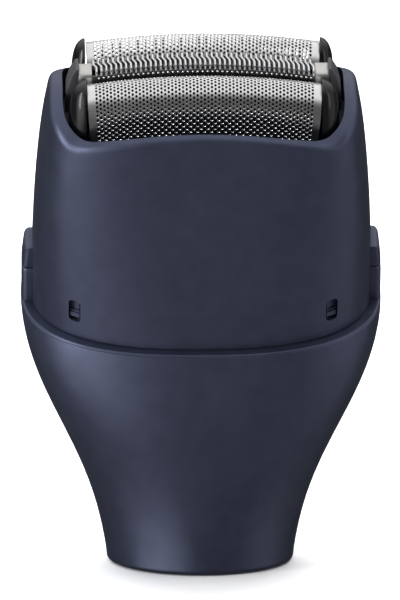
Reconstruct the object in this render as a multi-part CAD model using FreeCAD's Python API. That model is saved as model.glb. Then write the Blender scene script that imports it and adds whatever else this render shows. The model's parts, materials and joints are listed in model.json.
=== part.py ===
import FreeCAD, Part
import math
import os

# Foil shaver head: a tilted three-blade head on a flared housing with a round neck. Millimetres.
# Origin: centre of the neck's bottom rim. +Z runs up the neck, -Y is the front, X is the width.
# The head is drawn in its own frame (x, v, w): v is its depth, front to back, and w its axis.
# place_head() then tilts it forward about X and sets it on the seam between housing and cover.

Vec = FreeCAD.Vector

# Whole object
HEAD_TILT = 22.0            # degrees that the head leans forward
SEAM_Y = -4.0               # centre of the seam plane
SEAM_Z = 47.2
OUTLINE_POINTS = 48         # points on each closed section curve
WIRE_SIDES = 8              # flats round the wire of a coil spring
SPRING_GAP = 0.05           # between a spring's end turn and what it stands on

# Lower housing
NECK_R = 15.9
RIM_BEVEL = 0.6
FLARE_START_Z = 0.65        # where the neck starts to widen
FLARE_HEIGHT = 45.0
FLARE_SWELL = 0.42          # fuller near the neck, and leaner above the share FLARE_EVEN of its height
FLARE_EVEN = 0.31
SEAM_HALF_WIDTH = 30.5
SEAM_HALF_DEPTH = 21.1
SEAM_POWER = 2.5            # how square the seam outline is, 2 is an ellipse
HOUSING_WALL = 2.0
RIM_WALL = 3.3              # wall at the rim, where the cover stands on it
RIM_DEPTH = 1.6
GASKET_STEP = 0.4
SHELF_Z = 15.0              # shelf in the neck that the bearing carrier is screwed to
SHELF_THICKNESS = 2.0

# Neck dock
DOCK_BORE_R = 12.6
DOCK_DEPTH = 12.0
SLEEVE_OUTER_R = 13.85
FLANGE_Z = 13.0
SCREW_CIRCLE_R = 8.6

# Drive
SHAFT_R = 2.0
SHAFT_BOTTOM = 6.5
BUSH_OUTER_R = 4.0
RUNNING_CLEARANCE = 0.03
TOWER_R = 5.5
TOWER_TOP = 27.0
ROCKER_Z = 28.3
ROCKER_THICKNESS = 2.7
PIN_OFFSET = 6.0            # drive pins in front of and behind the shaft
PIN_R = 0.9
BALL_R = 1.2
FRONT_BALL_Z = 40.0
REAR_BALL_Z = 44.0

# Mechanism deck inside the cover
DECK_HALF_WIDTH = 21.5
DECK_HALF_DEPTH = 12.3
DECK_POWER = 3.2
DECK_TOP = 19.0
DECK_WALL = 1.5
CHASSIS_TOP = -9.5
CHASSIS_THICKNESS = 1.5
FOIL_V = 6.3                # foil centrelines, in front of and behind the middle
ROD_W = -3.0
ROD_R = 1.0
POST_HALF_WIDTH = 3.0
POST_HALF_DEPTH = 1.0
POST_TOP = 26.0

# Cover: half width, half depth and squareness of its outside at each height
COVER_OUTSIDE = [(0.15, 28.7, 19.3, 2.5), (12, 28.6, 18.1, 2.8), (24, 28.0, 16.8, 3.2),
                 (34, 26.95, 15.6, 3.6), (46, 24.6, 14.2, 4.0)]
COVER_INSIDE = [(-3.5, 26.9, 17.6, 2.5), (12, 26.7, 16.3, 2.8), (24, 25.9, 15.2, 3.2),
                (34, 24.7, 14.2, 3.8), (48, 22.2, 12.7, 4.4)]
EAR_R = 21.0                # ears at the two ends are rounded from front to back
EAR_TOP = 40.7
FRONT_EDGE_W = 39.5         # middle of the opening's front and back edges
FRONT_EDGE_R = 82.0         # that edge is arched along the width
WINDOW_X = 21.7
WINDOW_W = 5.0
WINDOW_WIDTH = 1.95
WINDOW_HEIGHT = 4.0
HOOK_GAP = 0.15
HOOK_STEPS = [(-1.4, -0.6, 1.35), (-0.6, -0.25, 1.05), (-0.25, 1.8, 0.75)]   # from, to, how proud

# Foils and slit blade
ARCH_R = 118.0              # all three blades are arched along the width
APEX_W = 46.3
CROWN_R = 4.0
FOIL_THICKNESS = 0.15
FOIL_HALF_LENGTH = 19.7
FOIL_BOTTOM = 34.9
FRONT_DROP = 0.6            # the front foil and its blades sit this much lower than the rear ones
SLIT_APEX = 46.1
SLIT_HALF_DEPTH = 2.1
SLIT_THICKNESS = 0.3
SLIT_HALF_LENGTH = 18.8
HOLDER_BOTTOM = 28.0
HOLDER_HALF_LENGTH = 21.0
LOBE_SECTIONS = [(34.6, 2.9, 4.0, 2.2), (37.5, 3.1, 4.15, 2.2), (40.5, 3.0, 3.95, 2.1),
                 (43.0, 2.65, 3.3, 2.0), (44.4, 2.1, 2.5, 2.0), (45.1, 1.5, 1.8, 2.0), (45.4, 0.9, 1.1, 2.0)]
REAR_LOBE_SHARE = 0.8      # how far the rear foil's lobes reach out, against the front foil's
FORK_TOP = 23.0
LEDGE_TOP = 25.0            # ledges of the cassette that the float springs stand on
CASSETTE_TOP = 32.5         # clear of the front lobes when they sink
LAMINA_COUNT = 24
LAMINA_PITCH = 1.45
LAMINA_THICKNESS = 0.35
LAMINA_R = 3.45

# Release buttons
BUTTON_HALF_DEPTH = 3.4
BUTTON_BOTTOM = 6.6
BUTTON_TOP = 10.4
UPSTAND_TOP = 6.35
NOTCH_HALF_DEPTH = 3.75
NOTCH_TOP = 10.75
GUIDE_END = 24.1


def place_head(shape):
    """Move a shape from the head's frame to the object's frame."""
    tilt = FreeCAD.Rotation(Vec(1, 0, 0), HEAD_TILT)
    moved = shape.copy()
    moved.Placement = FreeCAD.Placement(Vec(0, SEAM_Y, SEAM_Z), tilt).multiply(moved.Placement)
    return moved


def box(x0, x1, y0, y1, z0, z1):
    return Part.makeBox(x1 - x0, y1 - y0, z1 - z0, Vec(x0, y0, z0))


def disc(radius, z0, z1, x=0.0, y=0.0):
    return Part.makeCylinder(radius, z1 - z0, Vec(x, y, z0))


def tube(outer, inner, z0, z1):
    return disc(outer, z0, z1).cut(disc(inner, z0 - 1, z1 + 1))


def both_sides(shape):
    """The shape and its mirror image on the other side of the middle plane."""
    return [shape, shape.mirror(Vec(0, 0, 0), Vec(1, 0, 0))]


def group(solids):
    return Part.makeCompound(solids)


def fuse_all(solids):
    return solids[0].multiFuse(solids[1:]).removeSplitter()


def outline(half_width, half_depth, power):
    """Closed rounded outline in the XY plane, between an ellipse and a rounded rectangle."""
    points = []
    for i in range(OUTLINE_POINTS):
        angle = 2 * math.pi * i / OUTLINE_POINTS
        across = abs(math.cos(angle)) / half_width
        along = abs(math.sin(angle)) / half_depth
        reach = (across ** power + along ** power) ** (-1 / power)
        points.append(Vec(reach * math.cos(angle), reach * math.sin(angle), 0))
    curve = Part.BSplineCurve()
    steps = [i / OUTLINE_POINTS for i in range(OUTLINE_POINTS + 1)]
    curve.interpolate(Points=points, PeriodicFlag=True, Parameters=steps)
    return Part.Wire([curve.toShape()])


def lofted(sections, inset=0.0):
    """Solid through level outlines, each given as height, half width, half depth, squareness."""
    wires = []
    for height, half_width, half_depth, power in sections:
        wire = outline(half_width - inset, half_depth - inset, power)
        wire.translate(Vec(0, 0, height))
        wires.append(wire)
    return Part.makeLoft(wires, True, False)


def prism(half_width, half_depth, power, z0, z1):
    return lofted([(z0, half_width, half_depth, power), (z1, half_width, half_depth, power)])


def ring(outer, inner, power, z0, z1):
    body = prism(outer[0], outer[1], power, z0, z1)
    return body.cut(prism(inner[0], inner[1], power, z0 - 1, z1 + 1))


def flare_spread(reach):
    """How far the flare has leant over, and how far it has widened, at a share of its height."""
    lean = reach * reach * (3 - 2 * reach)
    swell = reach * reach * (1 - reach) * (FLARE_EVEN - reach) / (reach + 0.1) ** 2
    return lean, lean + FLARE_SWELL * swell


def flare(inset, z0, last):
    """Body of the lower housing: a round neck that widens and leans into the seam outline."""
    wires = []
    steps = 9
    heights = [z0] + [FLARE_START_Z + FLARE_HEIGHT * i / steps for i in range(1, steps + 1)] + [last]
    for height in heights:
        reach = max(0.0, min(1.0, (height - FLARE_START_Z) / FLARE_HEIGHT))
        lean, spread = flare_spread(reach)
        half_width = NECK_R + (SEAM_HALF_WIDTH - NECK_R) * spread - inset
        half_depth = NECK_R + (SEAM_HALF_DEPTH - NECK_R) * spread - inset
        wire = outline(half_width, half_depth, 2 + (SEAM_POWER - 2) * lean)
        wire.rotate(Vec(0, 0, 0), Vec(1, 0, 0), HEAD_TILT * lean)
        wire.translate(Vec(0, SEAM_Y * lean, height))
        wires.append(wire)
    return Part.makeLoft(wires, True, False)


def coil(radius, wire_r, z0, z1, turns):
    """Compression spring along Z; its ends are the wire's centre at each end turn."""
    height = z1 - z0 - 2 * (wire_r + SPRING_GAP)
    path = Part.makeHelix(height / turns, height, radius)
    turns_of_wire = [2 * math.pi * i / WIRE_SIDES for i in range(WIRE_SIDES + 1)]
    rim = [Vec(radius + wire_r * math.cos(a), 0, wire_r * math.sin(a)) for a in turns_of_wire]
    section = Part.makePolygon(rim)
    spring = Part.Wire(path.Edges).makePipeShell([section], True, True)
    spring.translate(Vec(0, 0, z0 + wire_r + SPRING_GAP))
    return spring


def arched(profile_points, arcs, half_length):
    """Thin arched part: a section in the v-w plane swept along the width about the arch's centre.

    profile_points lists the section's corners in order; arcs maps the index of a corner to the
    point that the arc to the next corner passes through.
    """
    edges = []
    count = len(profile_points)
    for i in range(count):
        start = Vec(0, *profile_points[i])
        end = Vec(0, *profile_points[(i + 1) % count])
        if i in arcs:
            edges.append(Part.Arc(start, Vec(0, *arcs[i]), end).toShape())
        else:
            edges.append(Part.LineSegment(start, end).toShape())
    face = Part.Face(Part.Wire(edges))
    half_angle = math.degrees(math.asin(half_length / (ARCH_R - 14))) + 0.5
    centre = Vec(0, 0, APEX_W - ARCH_R)
    face.rotate(centre, Vec(0, 1, 0), -half_angle)
    return face.revolve(centre, Vec(0, 1, 0), 2 * half_angle)


def drop(x):
    """How far the arch has fallen at x."""
    return ARCH_R - math.sqrt(ARCH_R * ARCH_R - x * x)


def sink(v):
    """How much lower the parts on this centreline sit."""
    return FRONT_DROP if v < 0 else 0.0


def sunk(v, shape):
    """Move a shape down with its foil."""
    moved = shape.copy()
    moved.translate(Vec(0, 0, -sink(v)))
    return moved


# ---- housing ------------------------------------------------------------------------------

def lower_housing():
    bevel = Part.makeCone(NECK_R - RIM_BEVEL, NECK_R + 1, 1 + RIM_BEVEL)
    above = box(-40, 40, -40, 40, 1 + RIM_BEVEL, 80)
    outer = flare(0, 0, SEAM_Z).common(bevel.fuse(above))
    hollow = flare(HOUSING_WALL, -1, SEAM_Z)
    cut_down = place_head(box(-40, 40, -40, 40, -RIM_DEPTH, 5))
    shell = outer.cut(hollow.cut(cut_down))
    inside = (SEAM_HALF_WIDTH - RIM_WALL, SEAM_HALF_DEPTH - RIM_WALL)
    shell = shell.cut(place_head(prism(*inside, SEAM_POWER, -RIM_DEPTH - 0.5, 1)))
    step = (SEAM_HALF_WIDTH - HOUSING_WALL, SEAM_HALF_DEPTH - HOUSING_WALL)
    shell = shell.cut(place_head(prism(*step, SEAM_POWER, -GASKET_STEP, 1)))
    shelf = disc(30, SHELF_Z, SHELF_Z + SHELF_THICKNESS).cut(disc(9.0, 0, 30))
    pieces = [shell, shelf.common(flare(0.5, 0, SEAM_Z))]
    pieces += boss_posts()
    pieces += [place_head(side) for side in both_sides(side_upstand())]
    body = fuse_all(pieces)
    for x, y in screw_circle():
        body = body.cut(disc(0.8, SHELF_Z - 1, SHELF_Z + SHELF_THICKNESS + 1, x, y))
    return body


def chassis_screw_places():
    return [(side * 23.2, v) for side in (-1, 1) for v in (-7.5, 1.0)]


def boss_posts():
    """Posts that rise from the housing's wall to carry the chassis."""
    limit = flare(0.5, 0, SEAM_Z)
    top = CHASSIS_TOP - CHASSIS_THICKNESS
    posts = []
    for x, v in chassis_screw_places():
        post = disc(2.2, top - 25, top, x, v).cut(disc(0.8, top - 6, top + 1, x, v))
        posts.append(place_head(post).common(limit))
    return posts


def side_upstand():
    """Pad that rises from the rim below each release button."""
    pad = ring((SEAM_HALF_WIDTH - 0.05, SEAM_HALF_DEPTH), (27.2, 17.8), SEAM_POWER, -0.8, UPSTAND_TOP)
    half = BUTTON_HALF_DEPTH + 0.1
    pad = pad.common(box(20, 40, -half, half, -2, 20))
    corners = [e for e in pad.Edges if e.BoundBox.XMin > 29.5 and e.BoundBox.ZLength > 5]
    return pad.makeFillet(0.9, corners)


def seam_gasket():
    outer = (SEAM_HALF_WIDTH - HOUSING_WALL - 0.05, SEAM_HALF_DEPTH - HOUSING_WALL - 0.05)
    inner = (SEAM_HALF_WIDTH - RIM_WALL + 0.2, SEAM_HALF_DEPTH - RIM_WALL + 0.2)
    body = ring(outer, inner, SEAM_POWER, -GASKET_STEP, 0.05)
    for pad in both_sides(side_upstand()):
        body = body.cut(pad)
    return place_head(body)


# ---- neck dock and drive ------------------------------------------------------------------

def screw_circle():
    angles = [math.pi / 6 + 2 * math.pi * i / 3 for i in range(3)]
    return [(SCREW_CIRCLE_R * math.cos(a), SCREW_CIRCLE_R * math.sin(a)) for a in angles]


def screw(radius, head_r, z_head, z_tip, head_height):
    """Pan head below, shank above, with a cross recess."""
    body = disc(head_r, z_head, z_head + head_height).fuse(disc(radius, z_head, z_tip))
    for turn in (0, 90):
        slot = box(-head_r * 0.6, head_r * 0.6, -0.15, 0.15, z_head - 1, z_head + head_height * 0.5)
        slot.rotate(Vec(0, 0, 0), Vec(0, 0, 1), turn)
        body = body.cut(slot)
    return body


def dock_sleeve():
    sleeve = tube(SLEEVE_OUTER_R, DOCK_BORE_R, 0, FLANGE_Z)
    groove = tube(13.55, DOCK_BORE_R - 0.5, 5.0, 5.9)
    sleeve = sleeve.cut(groove)
    for i in range(3):
        key = box(DOCK_BORE_R - 1, DOCK_BORE_R + 0.7, -1.2, 1.2, 0, 9)
        key.rotate(Vec(0, 0, 0), Vec(0, 0, 1), 90 + 120 * i)
        sleeve = sleeve.cut(key)
    return sleeve


def snap_ring():
    """Open wire ring in the sleeve's groove, which clicks over the handle's collar."""
    torus = Part.makeTorus(13.08, 0.42, Vec(0, 0, 5.45), Vec(0, 0, 1))
    return torus.cut(box(-1.5, 1.5, -20, 0, 4, 7))


def dock_seal():
    return tube(12.5, 10.9, DOCK_DEPTH + 0.2, FLANGE_Z)


def bearing_carrier():
    flange = disc(SLEEVE_OUTER_R, FLANGE_Z, SHELF_Z)
    tower = disc(TOWER_R, FLANGE_Z, TOWER_TOP)
    body = flange.fuse(tower).removeSplitter()
    body = body.cut(disc(BUSH_OUTER_R, FLANGE_Z - 1, FLANGE_Z + 5))
    body = body.cut(disc(BUSH_OUTER_R, TOWER_TOP - 4.5, TOWER_TOP + 1))
    body = body.cut(disc(3.0, FLANGE_Z, TOWER_TOP))
    for x, y in screw_circle():
        body = body.cut(disc(1.05, FLANGE_Z - 1, SHELF_Z + 1, x, y))
        body = body.cut(disc(1.9, FLANGE_Z - 1, FLANGE_Z + 1.2, x, y))
    return body


def carrier_screws():
    screws = []
    for x, y in screw_circle():
        one = screw(0.8, 1.7, FLANGE_Z + 0.1, SHELF_Z + 1.6, 1.1)
        one.translate(Vec(x, y, 0))
        screws.append(one)
    return group(screws)


def bush(z0, z1):
    return tube(BUSH_OUTER_R, SHAFT_R + RUNNING_CLEARANCE, z0, z1)


def lower_bush():
    return bush(FLANGE_Z, FLANGE_Z + 5)


def upper_bush():
    return bush(TOWER_TOP - 4.5, TOWER_TOP)


def shaft_seal():
    """Lip ring in the tower between the bushes."""
    return tube(3.0, SHAFT_R + 0.05, FLANGE_Z + 5.2, FLANGE_Z + 7.2)


def drive_shaft():
    shaft = disc(SHAFT_R, SHAFT_BOTTOM + 2.5, ROCKER_Z + ROCKER_THICKNESS)
    groove = tube(SHAFT_R + 1, 1.6, TOWER_TOP + 0.25, TOWER_TOP + 0.85)
    return shaft.cut(groove)


def drive_coupling():
    """Dog socket at the shaft's lower end, with a keyed opening for the handle's spindle."""
    body = disc(5.2, SHAFT_BOTTOM, SHAFT_BOTTOM + 5.2)
    body = body.makeFillet(0.6, [e for e in body.Edges if e.BoundBox.ZMax < SHAFT_BOTTOM + 0.1])
    body = body.cut(disc(SHAFT_R, SHAFT_BOTTOM + 2.5, 20))
    body = body.cut(box(-3.6, 3.6, -1.2, 1.2, 0, SHAFT_BOTTOM + 2.4))
    return body.cut(disc(2.2, 0, SHAFT_BOTTOM + 2.4))


def retaining_clip():
    clip = tube(3.6, 1.62, TOWER_TOP + 0.3, TOWER_TOP + 0.8)
    return clip.cut(box(-1.2, 1.2, 0.5, 5, TOWER_TOP, TOWER_TOP + 2))


def rocker_arm():
    hub = disc(4.4, ROCKER_Z, ROCKER_Z + ROCKER_THICKNESS)
    arm = box(-2.0, 2.0, -PIN_OFFSET, PIN_OFFSET, ROCKER_Z, ROCKER_Z + ROCKER_THICKNESS)
    ends = [disc(2.0, ROCKER_Z, ROCKER_Z + ROCKER_THICKNESS, 0, y) for y in (-PIN_OFFSET, PIN_OFFSET)]
    body = fuse_all([hub, arm] + ends)
    body = body.cut(disc(SHAFT_R, 0, 60))
    for y in (-PIN_OFFSET, PIN_OFFSET):
        body = body.cut(disc(PIN_R, 0, 60, 0, y))
    return body


def drive_pin(y, ball_z):
    return disc(PIN_R, ROCKER_Z, ball_z, 0, y).fuse(Part.makeSphere(BALL_R, Vec(0, y, ball_z)))


def front_drive_pin():
    return drive_pin(-PIN_OFFSET, FRONT_BALL_Z)


def rear_drive_pin():
    return drive_pin(PIN_OFFSET, REAR_BALL_Z)


# ---- mechanism inside the head --------------------------------------------------------------

def chassis():
    bottom = CHASSIS_TOP - CHASSIS_THICKNESS
    slab = place_head(box(-40, 40, -40, 40, bottom, CHASSIS_TOP))
    plate = slab.common(flare(HOUSING_WALL + 0.3, 0, SEAM_Z))
    for v0, v1 in ((-8.8, -1.0), (3.6, 11)):
        plate = plate.cut(place_head(box(-4.5, 4.5, v0, v1, bottom - 1, CHASSIS_TOP + 1)))
    for x, v in chassis_screw_places():
        plate = plate.cut(place_head(disc(1.05, bottom - 1, CHASSIS_TOP + 1, x, v)))
    return plate


def chassis_screws():
    screws = []
    for x, v in chassis_screw_places():
        one = screw(0.8, 1.7, 0, 5.4, 1.1)
        one.rotate(Vec(0, 0, 0), Vec(1, 0, 0), 180)
        one.translate(Vec(x, v, CHASSIS_TOP + 1.1))
        screws.append(place_head(one))
    return group(screws)


def deck():
    """Hood over the drive, inside the cover, with a slot for each blade post."""
    body = prism(DECK_HALF_WIDTH, DECK_HALF_DEPTH, DECK_POWER, CHASSIS_TOP, DECK_TOP)
    body = body.makeFillet(1.5, [e for e in body.Edges if e.BoundBox.ZMin > DECK_TOP - 0.1])
    inner = (DECK_HALF_WIDTH - DECK_WALL, DECK_HALF_DEPTH - DECK_WALL)
    body = body.cut(prism(*inner, DECK_POWER, CHASSIS_TOP - 1, DECK_TOP - DECK_WALL))
    for v in (-FOIL_V, FOIL_V):
        body = body.cut(box(-4.6, 4.6, v - 1.6, v + 1.6, DECK_TOP - 3, DECK_TOP + 1))
        rod_hole = Part.makeCylinder(ROD_R, 44, Vec(-20.1, v, ROD_W), Vec(1, 0, 0)).common(
            box(-20.1, 20.1, -20, 20, -20, 20))
        body = body.cut(rod_hole)
    return place_head(body)


def guide_rod(v):
    rod = Part.makeCylinder(ROD_R, 40.0, Vec(-20.0, v, ROD_W), Vec(1, 0, 0))
    return place_head(rod)


def boot(v):
    """Rubber frame round a post, standing proud of the deck."""
    outer = box(-6.4, 6.4, v - 2.9, v + 2.9, DECK_TOP, DECK_TOP + 1.2)
    outer = outer.makeFillet(2.0, [e for e in outer.Edges if e.BoundBox.ZLength > 1])
    outer = outer.makeChamfer(0.6, [e for e in outer.Edges if e.BoundBox.ZMin > DECK_TOP + 1.1])
    return place_head(outer.cut(box(-4.4, 4.4, v - 1.3, v + 1.3, DECK_TOP - 1, DECK_TOP + 3)))


def oscillator(v, ball_z, ball_y):
    """Carriage on its rod, with the slotted tongue that the drive pin works and the blade post."""
    block = box(-14.5, 14.5, v - 2.3, v + 2.3, -5, -1)
    rise = ball_z - SEAM_Z
    lean = math.radians(HEAD_TILT)
    ball_v = (ball_y - SEAM_Y) * math.cos(lean) + rise * math.sin(lean)
    ball_w = rise * math.cos(lean) - (ball_y - SEAM_Y) * math.sin(lean)
    tongue = box(-4, 4, ball_v - 2.4, ball_v + 2.4, ball_w - 1.6, -2)
    post = box(-POST_HALF_WIDTH, POST_HALF_WIDTH, v - POST_HALF_DEPTH, v + POST_HALF_DEPTH, -2, POST_TOP)
    body = fuse_all([block, tongue, post])
    gap = BALL_R + RUNNING_CLEARANCE
    body = body.cut(box(-gap, gap, ball_v - 5, ball_v + 5, ball_w - 4, ball_w + 1.6))
    bore = Part.makeCylinder(ROD_R + RUNNING_CLEARANCE, 60, Vec(-30, v, ROD_W), Vec(1, 0, 0))
    return place_head(body.cut(bore))


def comb_fork():
    """Arm from the front post to the middle, whose slot drives the slit comb."""
    front = -FOIL_V + POST_HALF_DEPTH
    arm = box(-2.6, 2.6, front, 1.4, 21.0, FORK_TOP)
    return place_head(arm.cut(box(-1.04, 1.04, -1.4, 2, 20, 26)))


def blade_carrier(v):
    """Blade seat whose sleeve slides on the post."""
    plate = box(-17.2, 17.2, v - 2.1, v + 2.1, 31, 33)
    sleeve = box(-4.4, 4.4, v - 2.2, v + 2.2, 25.0, 31.5)
    body = plate.fuse(sleeve).removeSplitter()
    gap = 0.06
    socket = box(-POST_HALF_WIDTH - gap, POST_HALF_WIDTH + gap, v - POST_HALF_DEPTH - gap,
                 v + POST_HALF_DEPTH + gap, 20, 30.5)
    return place_head(sunk(v, body.cut(socket)))


def blade_pack(v):
    """Row of thin rounded blades on a spine."""
    parts = [box(-17.2, 17.2, v - 1.3, v + 1.3, 33, 35.6)]
    first = -LAMINA_PITCH * (LAMINA_COUNT - 1) / 2
    for i in range(LAMINA_COUNT):
        x = first + i * LAMINA_PITCH
        crown_w = APEX_W - CROWN_R - drop(abs(x) + 0.6)
        half = LAMINA_THICKNESS / 2
        blade = box(x - half, x + half, v - LAMINA_R, v + LAMINA_R, 35.2, crown_w)
        crown = Part.makeCylinder(LAMINA_R, LAMINA_THICKNESS, Vec(x - half, v, crown_w), Vec(1, 0, 0))
        hollow = Part.makeCylinder(1.9, 2, Vec(x - 1, v, crown_w - 0.5), Vec(1, 0, 0))
        parts.append(blade.fuse(crown).cut(hollow))
    return place_head(sunk(v, fuse_all(parts)))


def blade_spring(v):
    spring = coil(0.72, 0.16, POST_TOP, 30.5 - sink(v), 6)
    spring.translate(Vec(0, v, 0))
    return place_head(spring)


# ---- foils, slit blade and their frame -------------------------------------------------------

def foil(v):
    inner_r = CROWN_R - FOIL_THICKNESS
    centre = APEX_W - CROWN_R
    corners = [(v - CROWN_R, FOIL_BOTTOM - 2), (v - CROWN_R, centre), (v + CROWN_R, centre),
               (v + CROWN_R, FOIL_BOTTOM - 2), (v + inner_r, FOIL_BOTTOM - 2), (v + inner_r, centre),
               (v - inner_r, centre), (v - inner_r, FOIL_BOTTOM - 2)]
    arcs = {1: (v, centre + CROWN_R), 5: (v, centre + inner_r)}
    sheet = arched(corners, arcs, FOIL_HALF_LENGTH)
    trim = box(-FOIL_HALF_LENGTH, FOIL_HALF_LENGTH, v - 9, v + 9, FOIL_BOTTOM, 60)
    return place_head(sunk(v, sheet.common(trim)))


def foil_holder(v):
    """Frame under a foil with a rounded end lobe at each end of it."""
    base = box(-HOLDER_HALF_LENGTH, HOLDER_HALF_LENGTH, v - 4.3, v + 4.3, HOLDER_BOTTOM, FOIL_BOTTOM)
    base = base.makeFillet(0.8, [e for e in base.Edges if e.BoundBox.ZLength > 5])
    base = base.cut(box(-18.7, 18.7, v - 3.8, v + 3.8, 20, 50))
    share = REAR_LOBE_SHARE if v > 0 else 1.0
    lobe = lofted([(w, out * share, deep, power) for w, out, deep, power in LOBE_SECTIONS])
    lobe.translate(Vec(FOIL_HALF_LENGTH, v, 0))
    lobe = lobe.common(box(FOIL_HALF_LENGTH + 0.1, 30, v - 10, v + 10, 30, 60))
    neck = box(FOIL_HALF_LENGTH + 0.1, HOLDER_HALF_LENGTH, v - 3.3, v + 3.3, FOIL_BOTTOM - 1, 38)
    ends = both_sides(lobe.fuse(neck))
    return place_head(sunk(v, fuse_all([base] + ends)))


def float_springs(v):
    springs = []
    for side in (-1, 1):
        spring = coil(0.9, 0.18, LEDGE_TOP, HOLDER_BOTTOM - sink(v), 3)
        spring.translate(Vec(side * 20.1, v, 0))
        springs.append(place_head(spring))
    return group(springs)


def channel(apex, half_depth, thickness, bottom, half_length):
    """Arched inverted channel with rounded shoulders, along the width."""
    r = 0.5
    s = r * (1 - math.sqrt(0.5))
    outer, inner = half_depth, half_depth - thickness
    top, under = apex, apex - thickness
    corners = [(-outer, bottom), (-outer, top - r), (-outer + r, top), (outer - r, top), (outer, top - r),
               (outer, bottom), (inner, bottom), (inner, under), (-inner, under), (-inner, bottom)]
    arcs = {1: (-outer + s, top - s), 3: (outer - s, top - s)}
    sheet = arched(corners, arcs, half_length)
    return sheet.common(box(-half_length, half_length, -9, 9, bottom + 1.6, 60))


def slit_blade():
    return place_head(channel(SLIT_APEX, SLIT_HALF_DEPTH, SLIT_THICKNESS, 41.0, SLIT_HALF_LENGTH))


def slit_comb():
    """Toothed bar under the slit blade, with the peg that the fork works."""
    body = channel(SLIT_APEX - SLIT_THICKNESS - 0.25, 1.6, 0.4, 41.4, 17.3)
    gap = 0.42
    pitch = 0.83
    count = 40
    cuts = []
    for i in range(count):
        x = (i - (count - 1) / 2) * pitch
        if abs(x) > 1.3:
            cuts.append(box(x - gap / 2, x + gap / 2, -3, 3, 44.2, 50))
    body = body.cut(group(cuts))
    bar = box(-16.9, 16.9, -1.3, 1.3, 43.0, 43.9)
    peg = box(-1.0, 1.0, -0.8, 0.8, 20.5, 45.3)
    return place_head(fuse_all([body, bar, peg]))


def slit_end_caps():
    """Satin metal blocks that clamp the two ends of the slit blade."""
    cap = box(SLIT_HALF_LENGTH, 21.0, -SLIT_HALF_DEPTH, SLIT_HALF_DEPTH, 39.0, SLIT_APEX - 1.95)
    top_edges = [e for e in cap.Edges if e.BoundBox.ZMin > 44 and e.BoundBox.XLength > 1]
    cap = cap.makeFillet(1.0, top_edges)
    return group([place_head(side) for side in both_sides(cap)])


def slit_carrier():
    """Beam under the slit blade with a dark side arm at each end."""
    beam = box(-21.0, 21.0, -1.7, 1.7, 36.5, 39.0).cut(box(-2.9, 2.9, -1.15, 1.15, 30, 45))
    legs = both_sides(box(19.0, 21.0, -1.5, 1.5, HOLDER_BOTTOM, 36.6))
    corners = [(21.0, 44.9), (21.5, 44.9), (22.5, 43.2), (23.1, 41.0), (23.2, 38.5), (23.2, 36.5),
               (21.0, 36.5)]
    wire = Part.makePolygon([Vec(x, -1.95, w) for x, w in corners + corners[:1]])
    arm = Part.Face(wire).extrude(Vec(0, 3.9, 0))
    return place_head(fuse_all([beam] + legs + both_sides(arm)))


def comb_springs():
    springs = []
    for x in (-11, 11):
        spring = coil(0.8, 0.16, 39.08, 43.0, 5)
        spring.translate(Vec(x, 0, 0))
        springs.append(place_head(spring))
    return group(springs)


def foil_cassette():
    """Ring inside the cover that carries both foils and the slit blade on their springs."""
    body = lofted(COVER_INSIDE, 0.12).common(box(-40, 40, -40, 40, 23.5, CASSETTE_TOP))
    body = body.cut(box(-21.3, 21.3, -10.9, 10.9, LEDGE_TOP, 40))
    return place_head(body.cut(box(-18.7, 18.7, -10.9, 10.9, 20, 30)))


# ---- cover ----------------------------------------------------------------------------------

def above_cover():
    """Everything above the cover's rim: over the ears' arc and over the front edge's arc."""
    ears = Part.makeCylinder(EAR_R, 80, Vec(-40, 0, EAR_TOP - EAR_R), Vec(1, 0, 0))
    ears = ears.fuse(box(-40, 40, -40, 40, -10, EAR_TOP - EAR_R - 2))
    edges = Part.makeCylinder(FRONT_EDGE_R, 80, Vec(0, -40, FRONT_EDGE_W - FRONT_EDGE_R), Vec(0, 1, 0))
    space = box(-40, 40, -40, 40, 30, 60)
    return space.cut(ears).cut(edges)


def side_notches(half_depth, top):
    return both_sides(box(20, 40, -half_depth, half_depth, -10, top))


def window_cutters(grow):
    cutters = []
    half = WINDOW_WIDTH / 2 + grow
    for side in (-1, 1):
        for v0, v1 in ((-30, 0), (0, 30)):
            cutter = box(side * WINDOW_X - half, side * WINDOW_X + half, v0, v1,
                         WINDOW_W - WINDOW_HEIGHT / 2 - grow, WINDOW_W + WINDOW_HEIGHT / 2 + grow)
            cutters.append(cutter.makeFillet(0.6, [e for e in cutter.Edges if e.BoundBox.YLength > 5]))
    return cutters


def upper_cover():
    body = lofted(COVER_OUTSIDE).cut(lofted(COVER_INSIDE))
    body = body.cut(above_cover())
    for cutter in side_notches(NOTCH_HALF_DEPTH, NOTCH_TOP) + window_cutters(0):
        body = body.cut(cutter)
    return place_head(body)


def window_hooks():
    """Plate that fills each window, a little below the surface, with a proud tooth at its foot."""
    back = lofted(COVER_INSIDE, 1.0)
    half = WINDOW_WIDTH / 2 - HOOK_GAP
    hooks = []
    for w0, w1, proud in HOOK_STEPS:
        front = lofted(COVER_INSIDE, -proud).cut(back)
        for x in (-WINDOW_X, WINDOW_X):
            for v0, v1 in ((-30, -5), (5, 30)):
                hooks.append(front.common(box(x - half, x + half, v0, v1, WINDOW_W + w0, WINDOW_W + w1)))
    return hooks


def cover_liner():
    """Ring clipped into the foot of the cover by four hooks that show in its windows."""
    body = lofted(COVER_INSIDE, 0.1).cut(lofted(COVER_INSIDE, 1.2))
    body = body.common(box(-40, 40, -40, 40, -2.2, 10))
    body = fuse_all([body] + window_hooks())
    for cutter in side_notches(NOTCH_HALF_DEPTH + 0.4, 12):
        body = body.cut(cutter)
    return place_head(body)


def latch_bars():
    """Two small bars inside each side of the cover, over the notch, that the latch leaves hold."""
    bars = []
    for v0, v1 in ((-3.6, -1.8), (1.8, 3.6)):
        bars += both_sides(box(24.7, 26.5, v0, v1, 11.4, 12.3))
    return group([place_head(bar) for bar in bars])


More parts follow.
